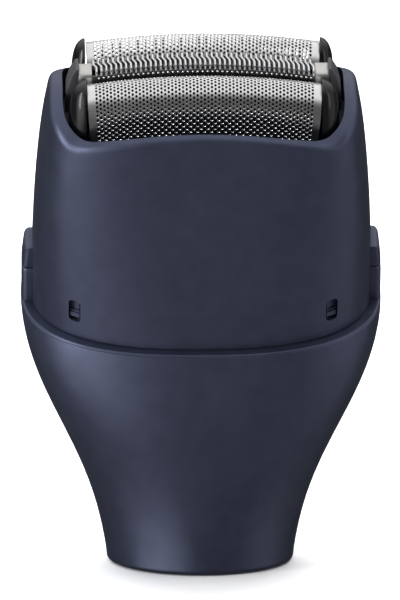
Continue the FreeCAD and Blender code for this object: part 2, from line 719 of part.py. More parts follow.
# ---- release buttons --------------------------------------------------------------------------

def button():
    """Right-hand button: rounded cap, hollow plunger behind it and the lug that frees the latch."""
    cap = lofted([(BUTTON_BOTTOM, SEAM_HALF_WIDTH - 0.1, 21, SEAM_POWER),
                  (BUTTON_TOP, SEAM_HALF_WIDTH - 0.5, 20.6, SEAM_POWER)])
    half = BUTTON_HALF_DEPTH
    cap = cap.common(box(25.3, 40, -half, half, 0, 20))
    outer = [e for e in cap.Edges if e.BoundBox.XMin > 29 and e.BoundBox.ZMax > BUTTON_BOTTOM + 0.5]
    cap = cap.makeFillet(0.9, outer)
    plunger = box(22.7, 25.6, -2.2, 2.2, 6.9, 10.1)
    lug = box(25.4, 25.8, -1.5, 1.5, 9.5, 13.2)
    body = fuse_all([cap, plunger, lug])
    return body.cut(Part.makeCylinder(1.45, 2.6, Vec(22.7, 0, 8.5), Vec(1, 0, 0)))


def button_spring():
    spring = coil(1.1, 0.18, 0, 25.3 - DECK_HALF_WIDTH, 5)
    spring.rotate(Vec(0, 0, 0), Vec(0, 1, 0), 90)
    spring.translate(Vec(DECK_HALF_WIDTH, 0, 8.5))
    return spring


def button_guides():
    sleeve = box(DECK_HALF_WIDTH, GUIDE_END, -3.1, 3.1, 5.9, 11.0).cut(box(20, 30, -2.27, 2.27, 6.83, 10.17))
    return group([place_head(side) for side in both_sides(sleeve)])


def latch_leaves():
    """Spring leaf above each guide, whose turned end holds the cover's latch bars down."""
    foot = box(DECK_HALF_WIDTH, DECK_HALF_WIDTH + 0.3, -2.0, 2.0, 11.1, 12.8)
    arm = box(DECK_HALF_WIDTH, 25.2, -2.0, 2.0, 12.5, 12.8)
    hook = box(24.9, 25.2, -3.6, 3.6, 12.4, 13.2)
    leaf = fuse_all([foot, arm, hook])
    return group([place_head(side) for side in both_sides(leaf)])


def mirrored(shape):
    return both_sides(shape)[1]


NODES = {
    "lower_housing": lower_housing,
    "seam_gasket": seam_gasket,
    "dock_sleeve": dock_sleeve,
    "snap_ring": snap_ring,
    "dock_seal": dock_seal,
    "bearing_carrier": bearing_carrier,
    "carrier_screws": carrier_screws,
    "lower_bush": lower_bush,
    "upper_bush": upper_bush,
    "shaft_seal": shaft_seal,
    "drive_shaft": drive_shaft,
    "drive_coupling": drive_coupling,
    "retaining_clip": retaining_clip,
    "rocker_arm": rocker_arm,
    "front_drive_pin": front_drive_pin,
    "rear_drive_pin": rear_drive_pin,
    "chassis": chassis,
    "chassis_screws": chassis_screws,
    "deck": deck,
    "front_guide_rod": lambda: guide_rod(-FOIL_V),
    "rear_guide_rod": lambda: guide_rod(FOIL_V),
    "front_boot": lambda: boot(-FOIL_V),
    "rear_boot": lambda: boot(FOIL_V),
    "front_oscillator": lambda: oscillator(-FOIL_V, FRONT_BALL_Z, -PIN_OFFSET),
    "rear_oscillator": lambda: oscillator(FOIL_V, REAR_BALL_Z, PIN_OFFSET),
    "comb_fork": comb_fork,
    "front_blade_carrier": lambda: blade_carrier(-FOIL_V),
    "rear_blade_carrier": lambda: blade_carrier(FOIL_V),
    "front_blade_pack": lambda: blade_pack(-FOIL_V),
    "rear_blade_pack": lambda: blade_pack(FOIL_V),
    "front_blade_spring": lambda: blade_spring(-FOIL_V),
    "rear_blade_spring": lambda: blade_spring(FOIL_V),
    "front_foil": lambda: foil(-FOIL_V),
    "rear_foil": lambda: foil(FOIL_V),
    "front_foil_holder": lambda: foil_holder(-FOIL_V),
    "rear_foil_holder": lambda: foil_holder(FOIL_V),
    "front_foil_springs": lambda: float_springs(-FOIL_V),
    "rear_foil_springs": lambda: float_springs(FOIL_V),
    "slit_blade": slit_blade,
    "slit_end_caps": slit_end_caps,
    "slit_carrier": slit_carrier,
    "slit_springs": lambda: float_springs(0),
    "slit_comb": slit_comb,
    "comb_springs": comb_springs,
    "foil_cassette": foil_cassette,
    "upper_cover": upper_cover,
    "cover_liner": cover_liner,
    "latch_bars": latch_bars,
    "left_button": lambda: place_head(mirrored(button())),
    "right_button": lambda: place_head(button()),
    "left_button_spring": lambda: place_head(mirrored(button_spring())),
    "right_button_spring": lambda: place_head(button_spring()),
    "button_guides": button_guides,
    "latch_leaves": latch_leaves,
}

os.makedirs("parts", exist_ok=True)
for name, make in NODES.items():
    shape = make()
    shape.exportStep("parts/" + name + ".step")
    state = "valid" if shape.isValid() else "NOT VALID"
    print(name, len(shape.Solids), "solids", round(shape.Volume, 1), "mm3", state)
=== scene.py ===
import bpy
import bmesh
import json
import math
from mathutils import Matrix, Vector


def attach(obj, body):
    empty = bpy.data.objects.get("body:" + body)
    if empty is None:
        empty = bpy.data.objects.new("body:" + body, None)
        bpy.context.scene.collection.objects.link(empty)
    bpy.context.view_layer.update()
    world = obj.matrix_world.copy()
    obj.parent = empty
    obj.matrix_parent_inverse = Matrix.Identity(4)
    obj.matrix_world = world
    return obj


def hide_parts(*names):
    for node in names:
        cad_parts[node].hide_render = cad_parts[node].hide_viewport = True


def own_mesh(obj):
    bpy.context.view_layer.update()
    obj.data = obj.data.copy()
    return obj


# Foil shaver head. Shapes are worked out in millimetres and stored in metres. Points are in the
# object's frame (x, y, z), or in the head's frame (x, v, w), which leans forward from the seam:
# v is the head's depth from front to back, and w runs up its axis.

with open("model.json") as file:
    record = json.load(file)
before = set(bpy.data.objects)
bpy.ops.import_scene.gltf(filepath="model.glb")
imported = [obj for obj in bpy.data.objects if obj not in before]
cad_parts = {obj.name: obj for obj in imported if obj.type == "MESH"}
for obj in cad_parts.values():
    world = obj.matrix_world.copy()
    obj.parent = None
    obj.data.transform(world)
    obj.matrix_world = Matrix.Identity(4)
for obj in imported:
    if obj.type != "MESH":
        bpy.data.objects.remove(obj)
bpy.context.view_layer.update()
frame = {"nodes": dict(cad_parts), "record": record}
MM = 0.001

# ---- driving sizes, millimetres ---------------------------------------------------------------

HEAD_TILT = math.radians(22)
SEAM_Y, SEAM_Z = -4.0, 47.2
NECK_R, FLARE_START, FLARE_HEIGHT = 15.9, 0.65, 45.0
# the flare's swell: its strength, the share of height where it turns inward, and its softness
FLARE_SWELL, FLARE_EVEN, FLARE_SOFT = 0.42, 0.31, 0.1
SEAM_HALF_WIDTH, SEAM_HALF_DEPTH, SEAM_POWER = 30.5, 21.1, 2.5
RIM_WALL, HOUSING_WALL = 3.3, 2.0
COVER_FOOT = 0.15
# rows of a wall: height, half width, half depth, squareness
COVER_OUTSIDE = [(COVER_FOOT, 28.7, 19.3, 2.5), (12, 28.6, 18.1, 2.8), (24, 28.0, 16.8, 3.2),
                 (34, 26.95, 15.6, 3.6), (46, 24.6, 14.2, 4.0)]
COVER_INSIDE = [(COVER_FOOT, 26.87, 17.3, 2.56), (12, 26.7, 16.3, 2.8), (24, 25.9, 15.2, 3.2),
                (34, 24.7, 14.2, 3.8), (48, 22.2, 12.7, 4.4)]
EAR_R, EAR_TOP = 21.0, 40.7
FRONT_EDGE_W, FRONT_EDGE_R = 39.5, 82.0
LIP_SLOPE = 0.28              # how far the lip falls from its inner to its outer edge, per mm
LIP_OUTER_R, LIP_INNER_R = 1.0, 0.30
NOTCH_HALF_DEPTH, NOTCH_TOP, NOTCH_CORNER = 3.75, 10.75, 0.7
WINDOW_X, WINDOW_W, WINDOW_WIDTH, WINDOW_HEIGHT, WINDOW_CORNER = 21.7, 5.0, 1.95, 4.0, 0.6
FOIL_V, ARCH_R, APEX_W, CROWN_R = 6.3, 118.0, 46.3, 4.0
FOIL_BOTTOM, FOIL_HALF_LENGTH, FOIL_SHEET = 34.95, 19.68, 0.07
FOIL_COLUMNS, FOIL_PITCH = 61, 0.606
FOIL_TAPER = 0.0031           # how much narrower the foil gets per mm below its top
ARCH_FADE = 1.6               # the foil's bottom edge is straight: the arch fades out down the sides
FRONT_DROP = 0.6              # the front foil and its blades sit this much lower than the rear ones
SLIT_APEX, SLIT_HALF_DEPTH, SLIT_HALF_LENGTH = 46.1, 2.1, 18.8
RIB_PITCH, RIBS, RIB_KINK = 0.83, 45, 0.25
SHARP, FOIL_SHARP = 35, 40    # edges above these angles stay sharp, degrees


def head(x, v, w):
    """A point of the head's frame, in metres in the object's frame."""
    s, c = math.sin(HEAD_TILT), math.cos(HEAD_TILT)
    return Vector((x, SEAM_Y + v * c - w * s, SEAM_Z + v * s + w * c)) * MM


def sink(v):
    """How much lower the parts on this centreline sit."""
    return FRONT_DROP if v < 0 else 0.0


def clamp(value, low=0.0, high=1.0):
    return max(low, min(high, value))


# ---- shader helpers -----------------------------------------------------------------------------

def map_range(nodes, links, value, low, high, bottom=0.0, top=1.0, smooth=False):
    """Goes from bottom to top while the value goes from low to high."""
    step = nodes.new("ShaderNodeMapRange")
    step.interpolation_type = "SMOOTHSTEP" if smooth else "LINEAR"
    step.inputs["From Min"].default_value = low
    step.inputs["From Max"].default_value = high
    step.inputs["To Min"].default_value = bottom
    step.inputs["To Max"].default_value = top
    links.new(value, step.inputs["Value"])
    return step.outputs["Result"]


def multiply(nodes, links, a, b):
    product = nodes.new("ShaderNodeMath")
    product.operation = "MULTIPLY"
    links.new(a, product.inputs[0])
    links.new(b, product.inputs[1])
    return product.outputs["Value"]


def color_mix(nodes, blend="MIX"):
    """A colour mix node's factor, its two colours and its result."""
    mix = nodes.new("ShaderNodeMix")
    mix.data_type = "RGBA"
    mix.blend_type = blend
    first, second = [s for s in mix.inputs if s.type == "RGBA"]
    result = [s for s in mix.outputs if s.type == "RGBA"][0]
    return mix.inputs["Factor"], first, second, result


def noise(nodes, links, vector, size, detail=2):
    """Noise with features of a size in millimetres."""
    node = nodes.new("ShaderNodeTexNoise")
    node.inputs["Scale"].default_value = 1 / (MM * size)
    node.inputs["Detail"].default_value = detail
    links.new(vector, node.inputs["Vector"])
    return node.outputs["Fac"]


# ---- materials ----------------------------------------------------------------------------------

MOTTLE_SIZE, BRUSH_SIZE, BRUSH_STRETCH = 3, 0.12, 0.02
DULLER, GLOSSIER = 0.05, 0.04   # how far the mottling moves the roughness each way


def material(name, color, roughness, mottle, metallic=0.0, grain=0.0, grain_size=0.1, brushed=0.0,
             specular=0.5):
    """Principled surface with slow mottling, and either a fine grain or brushing along X.

    grain and brushed are the heights of their bumps, in millimetres.
    """
    mat = bpy.data.materials.new(name)
    mat.use_nodes = True
    nodes, links = mat.node_tree.nodes, mat.node_tree.links
    surface = nodes["Principled BSDF"]
    surface.inputs["Base Color"].default_value = (*color, 1)
    surface.inputs["Roughness"].default_value = roughness
    surface.inputs["Metallic"].default_value = metallic
    surface.inputs["Specular IOR Level"].default_value = specular
    place = nodes.new("ShaderNodeTexCoord").outputs["Object"]
    cloud = noise(nodes, links, place, MOTTLE_SIZE, 4)
    ramp = nodes.new("ShaderNodeValToRGB")
    for element, position, share in zip(ramp.color_ramp.elements, (0.3, 0.7), (1 - mottle, 1 + mottle)):
        element.position = position
        element.color = (*[min(1, c * share) for c in color], 1)
    links.new(cloud, ramp.inputs["Fac"])
    links.new(ramp.outputs["Color"], surface.inputs["Base Color"])
    spread = map_range(nodes, links, cloud, 0, 1, roughness - GLOSSIER, roughness + DULLER)
    links.new(spread, surface.inputs["Roughness"])
    bump = nodes.new("ShaderNodeBump")
    bump.inputs["Strength"].default_value = 1.0
    if brushed:
        stretch = nodes.new("ShaderNodeMapping")
        stretch.inputs["Scale"].default_value = (BRUSH_STRETCH, 1, 1)
        links.new(place, stretch.inputs["Vector"])
        bump.inputs["Distance"].default_value = brushed * MM
        height = noise(nodes, links, stretch.outputs["Vector"], BRUSH_SIZE)
    else:
        bump.inputs["Distance"].default_value = grain * MM
        height = noise(nodes, links, place, grain_size)
    links.new(height, bump.inputs["Height"])
    links.new(bump.outputs["Normal"], surface.inputs["Normal"])
    return mat


LOOKS = {
    "navy_plastic": dict(color=(0.056, 0.064, 0.105), roughness=0.38, metallic=0.75, grain=0.022,
                         grain_size=0.22, mottle=0.08),
    "black_gloss_plastic": dict(color=(0.004, 0.004, 0.005), roughness=0.20, grain=0.003, grain_size=0.5,
                                specular=0.4, mottle=0.08),
    "dark_grey_plastic": dict(color=(0.035, 0.035, 0.038), roughness=0.5, grain=0.02, mottle=0.12),
    "grey_plastic": dict(color=(0.16, 0.17, 0.19), roughness=0.5, grain=0.015, mottle=0.08),
    "white_acetal": dict(color=(0.62, 0.62, 0.58), roughness=0.32, grain=0.006, mottle=0.04),
    "foil_steel": dict(color=(0.74, 0.74, 0.75), roughness=0.25, metallic=1, brushed=0.004, mottle=0.04),
    "blade_steel": dict(color=(0.10, 0.10, 0.105), roughness=0.34, metallic=1, brushed=0.01, mottle=0.10),
    "satin_steel": dict(color=(0.60, 0.59, 0.57), roughness=0.36, metallic=1, grain=0.006, grain_size=0.08,
                        mottle=0.05),
    "spring_steel": dict(color=(0.62, 0.62, 0.62), roughness=0.2, metallic=1, brushed=0.003, mottle=0.05),
    "bush_bronze": dict(color=(0.45, 0.27, 0.11), roughness=0.38, metallic=1, grain=0.015, mottle=0.12),
    "black_rubber": dict(color=(0.012, 0.012, 0.012), roughness=0.75, grain=0.02, mottle=0.15),
}
MATERIALS = {name: material(name, **look) for name, look in LOOKS.items()}


# ---- mesh helpers -------------------------------------------------------------------------------

def link_object(name, data):
    thing = bpy.data.objects.new(name, data)
    bpy.context.scene.collection.objects.link(thing)
    return thing


def make_mesh(name, vertices, faces):
    mesh = bpy.data.meshes.new(name)
    mesh.from_pydata([tuple(p) for p in vertices], [], faces)
    return mesh


def add_piece(name, vertices, faces, body, slot, replaces=()):
    mesh = make_mesh(name, vertices, faces)
    mesh.validate()
    mesh.update()
    piece = link_object(name, mesh)
    finish_piece(piece, body, slot, replaces)
    return piece


def shade(piece, sharp_angle=SHARP):
    """Turns the faces outward and shades them smooth, with edges sharper than the angle kept."""
    build = bmesh.new()
    build.from_mesh(piece.data)
    bmesh.ops.recalc_face_normals(build, faces=build.faces)
    for face in build.faces:
        face.smooth = True
    limit = math.radians(sharp_angle)
    for edge in build.edges:
        edge.smooth = len(edge.link_faces) == 2 and edge.calc_face_angle(0) < limit
    build.to_mesh(piece.data)
    build.free()


def finish_piece(piece, body, slot, replaces=(), sharp_angle=SHARP):
    shade(piece, sharp_angle)
    piece.data.materials.clear()
    piece.data.materials.append(MATERIALS[slot])
    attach(piece, body)
    if replaces:
        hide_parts(*replaces)


def grid_faces(rows, columns, offset=0):
    """Quads between consecutive closed rows of points."""
    faces = []
    for r in range(rows - 1):
        for c in range(columns):
            a = offset + r * columns + c
            b = offset + r * columns + (c + 1) % columns
            faces.append((a, b, b + columns, a + columns))
    return faces


def closing_faces(rows, columns):
    """Quads from the last row of points back to the first."""
    last = (rows - 1) * columns
    return [(last + i, last + (i + 1) % columns, (i + 1) % columns, i) for i in range(columns)]


def end_faces(rows, columns, offset=0):
    """The two polygons that close a tube of rows of points."""
    last = offset + (rows - 1) * columns
    return [tuple(offset + j for j in range(columns)), tuple(last + j for j in range(columns))[::-1]]


def cut_with(piece, cutters):
    """Takes the closed cutter meshes out of the piece."""
    for cutter in cutters:
        tool = piece.modifiers.new("cut", "BOOLEAN")
        tool.operation = "DIFFERENCE"
        tool.solver = "EXACT"
        tool.object = cutter
    depsgraph = bpy.context.evaluated_depsgraph_get()
    mesh = bpy.data.meshes.new_from_object(piece.evaluated_get(depsgraph))
    piece.modifiers.clear()
    piece.data = mesh
    for cutter in cutters:
        bpy.data.objects.remove(cutter)


def cutter_bar(corners, radius, axis, ends):
    """Bar with the rounded rectangle ((a0, b0), (a1, b1)) as its section, along a head axis."""
    (a0, b0), (a1, b1) = corners
    steps = 5
    ring = []
    for ca, cb, start in ((a1 - radius, b1 - radius, 0), (a0 + radius, b1 - radius, 90),
                          (a0 + radius, b0 + radius, 180), (a1 - radius, b0 + radius, 270)):
        for i in range(steps + 1):
            angle = math.radians(start + 90 * i / steps)
            ring.append((ca + radius * math.cos(angle), cb + radius * math.sin(angle)))
    vertices = []
    for end in ends:
        for a, b in ring:
            vertices.append(head(end, a, b) if axis == "x" else head(a, end, b))
    faces = grid_faces(2, len(ring)) + end_faces(2, len(ring))
    piece = link_object("cutter", make_mesh("cutter", vertices, faces))
    shade(piece)
    return piece


# ---- outlines -----------------------------------------------------------------------------------

def outline_point(angle, half_width, half_depth, power):
    """A point of a rounded outline; power 2 is an ellipse, and a larger one is squarer."""
    across = abs(math.cos(angle)) / half_width
    along = abs(math.sin(angle)) / half_depth
    reach = (across ** power + along ** power) ** (-1 / power)
    return reach * math.cos(angle), reach * math.sin(angle)


def outline_reach(v, half_width, half_depth, power):
    """How far out the outline is at depth v."""
    return half_width * (1 - (abs(v) / half_depth) ** power) ** (1 / power)


def section_at(rows, w):
    """Half width, half depth and squareness at a height, on a smooth cubic through the wall's rows."""
    if w <= rows[0][0]:
        return rows[0][1:]
    k = max(i for i in range(len(rows) - 1) if rows[i][0] <= w)
    w0, w1 = rows[k][0], rows[k + 1][0]
    t = (w - w0) / (w1 - w0)
    h00, h10 = 2 * t ** 3 - 3 * t ** 2 + 1, t ** 3 - 2 * t ** 2 + t
    h01, h11 = -2 * t ** 3 + 3 * t ** 2, t ** 3 - t ** 2
    result = []
    for j in (1, 2, 3):
        slope = (rows[k + 1][j] - rows[k][j]) / (w1 - w0)
        before = (rows[k][j] - rows[k - 1][j]) / (w0 - rows[k - 1][0]) if k else slope
        more = k + 2 < len(rows)
        after = (rows[k + 2][j] - rows[k + 1][j]) / (rows[k + 2][0] - w1) if more else slope
        m0, m1 = (slope + before) / 2 * (w1 - w0), (slope + after) / 2 * (w1 - w0)
        result.append(h00 * rows[k][j] + h10 * m0 + h01 * rows[k + 1][j] + h11 * m1)
    return result


def rim_height(x, v):
    """Height of the cover's opening above a point: the ears' arc or the arched front edge."""
    ear = EAR_TOP - EAR_R + math.sqrt(max(0.0, EAR_R ** 2 - v * v))
    edge = FRONT_EDGE_W - FRONT_EDGE_R + math.sqrt(FRONT_EDGE_R ** 2 - x * x)
    blend = 0.9        # the two meet in a fillet over this difference in height
    gap = clamp((ear - edge) / blend, -1.0, 1.0)
    return max(ear, edge) + blend / 4 * (1 - abs(gap)) ** 2


def wall_point(table, angle, w):
    """A point of a cover wall, at an angle round it and a height."""
    x, v = outline_point(angle, *section_at(table, w))
    return x, v, w


def rim_point(table, angle, lower):
    """Where a wall meets the rim surface, that much below it."""
    w = FRONT_EDGE_W - 1.5
    for _round in range(12):
        x, v, _w = wall_point(table, angle, w)
        w = rim_height(x, v) - lower
    return wall_point(table, angle, w)


def arch_drop(x):
    """How far the arch of the foils and the slit blade has fallen at x."""
    return ARCH_R - math.sqrt(ARCH_R ** 2 - x * x)


def quarter_turn(steps):
    """Angles of the points that round a corner, after its start."""
    return [math.radians(90 * i / steps) for i in range(1, steps + 1)]


# ---- housing ------------------------------------------------------------------------------------

HOUSING_POINTS = 192


def flare_ring(height, inset):
    """Points round the body: a circle at the neck that spreads and leans towards the seam."""
    reach = clamp((height - FLARE_START) / FLARE_HEIGHT)
    lean = reach * reach * (3 - 2 * reach)
    swell = reach * reach * (1 - reach) * (FLARE_EVEN - reach) / (reach + FLARE_SOFT) ** 2
    spread = lean + FLARE_SWELL * swell
    tilt = HEAD_TILT * lean
    half_width = NECK_R + (SEAM_HALF_WIDTH - NECK_R) * spread - inset
    half_depth = NECK_R + (SEAM_HALF_DEPTH - NECK_R) * spread - inset
    power = 2 + (SEAM_POWER - 2) * lean
    points = []
    for i in range(HOUSING_POINTS):
        x, d = outline_point(2 * math.pi * i / HOUSING_POINTS, half_width, half_depth, power)
        points.append(Vector((x, SEAM_Y * lean + d * math.cos(tilt), height + d * math.sin(tilt))) * MM)
    return points


def rim_ring(w, inset):
    """Points round the body at the seam, in the head's frame."""
    half_width, half_depth = SEAM_HALF_WIDTH - inset, SEAM_HALF_DEPTH - inset
    return [head(*outline_point(2 * math.pi * i / HOUSING_POINTS, half_width, half_depth, SEAM_POWER), w)
            for i in range(HOUSING_POINTS)]


def lower_housing():
    """Flared body: outside, rounded rim edge, ledge, and the inside down to the neck."""
    foot, foot_edge, foot_r = 0.02, 0.9, 0.8
    side_foot, side_top, side_steps = 1.0, SEAM_Z - 0.4, 60
    rim_r, ledge, ledge_drop = 0.42, 0.4, 1.6
    inside_foot, inside_top, inside_steps = 1.0, SEAM_Z - 2.2, 40
    wall = HOUSING_WALL + 0.02
    rows = [flare_ring(foot, wall), flare_ring(foot, foot_edge)]
    for angle in quarter_turn(6):
        rows.append(flare_ring(foot + foot_r * (1 - math.cos(angle)), foot_r * (1 - math.sin(angle))))
    for i in range(side_steps + 1):
        rows.append(flare_ring(side_foot + (side_top - side_foot) * i / side_steps, 0))
    for angle in quarter_turn(6):
        rows.append(rim_ring(-rim_r + rim_r * math.sin(angle), rim_r * (1 - math.cos(angle))))
    rows += [rim_ring(0, wall), rim_ring(-ledge, wall)]
    rows += [rim_ring(-ledge, RIM_WALL), rim_ring(-ledge_drop, RIM_WALL)]
    for i in range(inside_steps + 1):
        rows.append(flare_ring(inside_top - (inside_top - inside_foot) * i / inside_steps, HOUSING_WALL))
    vertices = [p for row in rows for p in row]
    faces = grid_faces(len(rows), HOUSING_POINTS) + closing_faces(len(rows), HOUSING_POINTS)
    for side in (-1, 1):
        add_upstand(side, vertices, faces)
    add_piece("housing_shell", vertices, faces, "housing", "navy_plastic", ["lower_housing"])


def add_upstand(side, vertices, faces):
    """Pad that rises from the rim below a release button, with its outer corners rounded."""
    half, depth, corner, behind_rim = 3.5, 3.25, 0.9, 0.05
    profile = [(-depth, -half)]
    for start, centre in ((-90, -half + corner), (0, half - corner)):
        for k in range(7):
            a = math.radians(start + 90 * k / 6)
            profile.append((-corner + corner * math.cos(a), centre + corner * math.sin(a)))
    profile.append((-depth, half))
    levels = [(-0.8, 0), (5.8, 0), (6.05, 0.04), (6.23, 0.14), (6.35, 0.34)]     # height, inset
    offset = len(vertices)
    for w, inset in levels:
        for out, v in profile:
            edge = outline_reach(v, SEAM_HALF_WIDTH - behind_rim, SEAM_HALF_DEPTH, SEAM_POWER)
            slack = clamp(inset, 0.0, out + depth)
            vertices.append(head(side * (edge + out - slack), v * (1 - inset / half), w))
    faces += grid_faces(len(levels), len(profile), offset)
    faces += end_faces(len(levels), len(profile), offset)


# ---- cover --------------------------------------------------------------------------------------

def bend(start, corner, end, steps):
    """Points that round a corner, after its start."""
    points = []
    for k in range(1, steps + 1):
        t = k / steps
        points.append(tuple(start * (1 - t) ** 2 + corner * 2 * t * (1 - t) + end * t * t))
    return points


def cover_column(angle):
    """Points up the cover's outside, over its rolled lip and down its inside."""
    tall = 54
    inner = rim_point(COVER_INSIDE, angle, 0.0)
    outer = rim_point(COVER_OUTSIDE, angle, 0.0)
    width = math.hypot(outer[0] - inner[0], outer[1] - inner[1])
    outer = rim_point(COVER_OUTSIDE, angle, LIP_SLOPE * width)
    inward = (Vector(inner) - Vector(outer)).normalized()
    top = outer[2] - LIP_OUTER_R
    column = []
    for k in range(tall + 1):
        column.append(wall_point(COVER_OUTSIDE, angle, COVER_FOOT + (top - COVER_FOOT) * k / tall))
    start = Vector(wall_point(COVER_OUTSIDE, angle, top))
    column += bend(start, Vector(outer), Vector(outer) + inward * LIP_OUTER_R, 10)
    start = Vector(inner) - inward * LIP_INNER_R
    for k in (1, 2, 3):
        column.append(tuple(Vector(column[-1]).lerp(start, k / 3)))
    top = inner[2] - LIP_INNER_R
    column += bend(start, Vector(inner), Vector(wall_point(COVER_INSIDE, angle, top)), 5)
    for k in range(1, tall + 1):
        column.append(wall_point(COVER_INSIDE, angle, top - (top - COVER_FOOT) * k / tall))
    return column


def cover_cutters():
    """Bars for the four latch windows and the two button notches."""
    half_width, half_height = WINDOW_WIDTH / 2, WINDOW_HEIGHT / 2
    cutters = []
    for x in (-WINDOW_X, WINDOW_X):
        corners = ((x - half_width, WINDOW_W - half_height), (x + half_width, WINDOW_W + half_height))
        for ends in ((-30, -5), (5, 30)):
            cutters.append(cutter_bar(corners, WINDOW_CORNER, "v", ends))
    corners = ((-NOTCH_HALF_DEPTH, -5), (NOTCH_HALF_DEPTH, NOTCH_TOP))
    for ends in ((20, 40), (-40, -20)):
        cutters.append(cutter_bar(corners, NOTCH_CORNER, "x", ends))
    return cutters


def upper_cover():
    """Cover with a rolled lip round its opening, cut for the windows and the buttons."""
    around = 288
    columns = [cover_column(2 * math.pi * (i + 0.5) / around) for i in range(around)]
    rows = len(columns[0])
    vertices = [head(*columns[i][r]) for r in range(rows) for i in range(around)]
    faces = grid_faces(rows, around) + closing_faces(rows, around)
    piece = add_piece("cover_shell", vertices, faces, "cover", "navy_plastic", ["upper_cover"])
    cut_with(piece, cover_cutters())
    shade(piece)


# ---- foils --------------------------------------------------------------------------------------

HOLE_ANGLES = [-135, -110, -90, -70, -45, 0, 45, 70, 90, 110, 135, 180]   # in the order of a cell's ring
HOLE_HALF_WIDTH, HOLE_END_GAP = 0.222, 0.112
ROUND_ROW, SLOT_GROWTH = 0.76, 0.3        # tallest row of round holes, and how much taller a full slot's is
SLOT_SQUARENESS = 1.6
CROWN_REACH, STEEPENING = 2.2, 3.0        # where the countersink starts to widen, and over what length
CROWN_COUNTERSINK, SIDE_COUNTERSINK = 0.012, 0.055
CROWN_ROW, SIDE_ROW, LAST_ROW = 0.74, 1.13, 12.3
SIDE_START, SIDE_BLEND = 4.4, 2.6         # where the rows start to grow, and over what length


def foil_point(v_centre, u, s, deep=0.0):
    """A point on the foil: u along the width, s round the crown from its top, positive to the back.

    deep is how far the point lies below the foil's outer face.
    """
    quarter = CROWN_R * math.pi / 2
    crown = APEX_W - CROWN_R
    r = CROWN_R - deep
    if abs(s) <= quarter:
        v, w = r * math.sin(s / CROWN_R), crown + r * math.cos(s / CROWN_R)
    else:
        v, w = math.copysign(r, s), crown - (abs(s) - quarter)
    depth = APEX_W - w
    fade = min(1.0, max(0.0, 1 - depth / (APEX_W - FOIL_BOTTOM)) * ARCH_FADE)
    taper = 1 - FOIL_TAPER * depth
    return head(u * taper, v_centre + v, w - sink(v_centre) - arch_drop(u) * fade)


def row_limits():
    """Row boundaries round the foil, from one side's lowest row to the other's."""
    limits = [0.0]
    while limits[-1] < LAST_ROW:
        grow = clamp((limits[-1] - SIDE_START) / SIDE_BLEND)
        limits.append(limits[-1] + CROWN_ROW + (SIDE_ROW - CROWN_ROW) * grow)
    return [-s for s in reversed(limits[1:])] + limits


def hole_outline(centre, wide, tall, power):
    """Points round a hole, one for each point round its cell."""
    points = []
    for degrees in HOLE_ANGLES:
        a = math.radians(degrees)
        reach = (abs(math.cos(a)) ** power + abs(math.sin(a)) ** power) ** (-1 / power)
        points.append((centre[0] + wide * reach * math.cos(a), centre[1] + tall * reach * math.sin(a)))
    return points


class FoilSheet:
    """Vertices and faces of a foil, built on points (u, s) of its outer face and their inner twins."""

    def __init__(self, v_centre):
        self.v_centre = v_centre
        self.vertices, self.faces, self.index = [], [], {}

    def vertex(self, point, deep=0.0):
        key = (round(point[0], 4), round(point[1], 4), deep)
        if key not in self.index:
            self.index[key] = len(self.vertices)
            self.vertices.append(foil_point(self.v_centre, *point, deep))
        return self.index[key]

    def face(self, outer, inner):
        """A face from points of the outer face, then points of the inner face."""
        corners = [self.vertex(p) for p in outer] + [self.vertex(p, FOIL_SHEET) for p in inner]
        self.faces.append(tuple(corners))

    def plain(self, us, s0, s1):
        """Sheet without holes between two levels."""
        for a, b in zip(us, us[1:]):
            corners = [(a, s0), (b, s0), (b, s1), (a, s1)]
            self.face(corners, [])
            self.face([], corners[::-1])

    def rim(self, points):
        """The sheet's edge along a line of points."""
        for a, b in zip(points, points[1:]):
            self.face([a, b], [b, a])

    def cell(self, us, s0, middle, s1):
        """Sheet round one hole: a circle in a short cell and a slot in a tall one.

        The hole narrows towards the inner face, more so down the foil's sides.
        """
        ring = [(u, s0) for u in us] + [(us[-1], middle)]
        ring += [(u, s1) for u in reversed(us)] + [(us[0], middle)]
        centre = (us[2], (s0 + s1) / 2)
        power = 2 + SLOT_SQUARENESS * clamp((s1 - s0 - ROUND_ROW) / SLOT_GROWTH)
        steep = clamp((abs(centre[1]) - CROWN_REACH) / STEEPENING)
        countersink = CROWN_COUNTERSINK + (SIDE_COUNTERSINK - CROWN_COUNTERSINK) * steep
        wide, tall = HOLE_HALF_WIDTH, (s1 - s0) / 2 - HOLE_END_GAP
        mouth = hole_outline(centre, wide, tall, power)
        throat = hole_outline(centre, wide - countersink, tall - countersink, power)
        for k in range(len(ring)):
            n = (k + 1) % len(ring)
            self.face([ring[k], ring[n], mouth[n], mouth[k]], [])
            self.face([mouth[k], mouth[n]], [throat[n], throat[k]])
            self.face([], [ring[n], ring[k], throat[k], throat[n]])


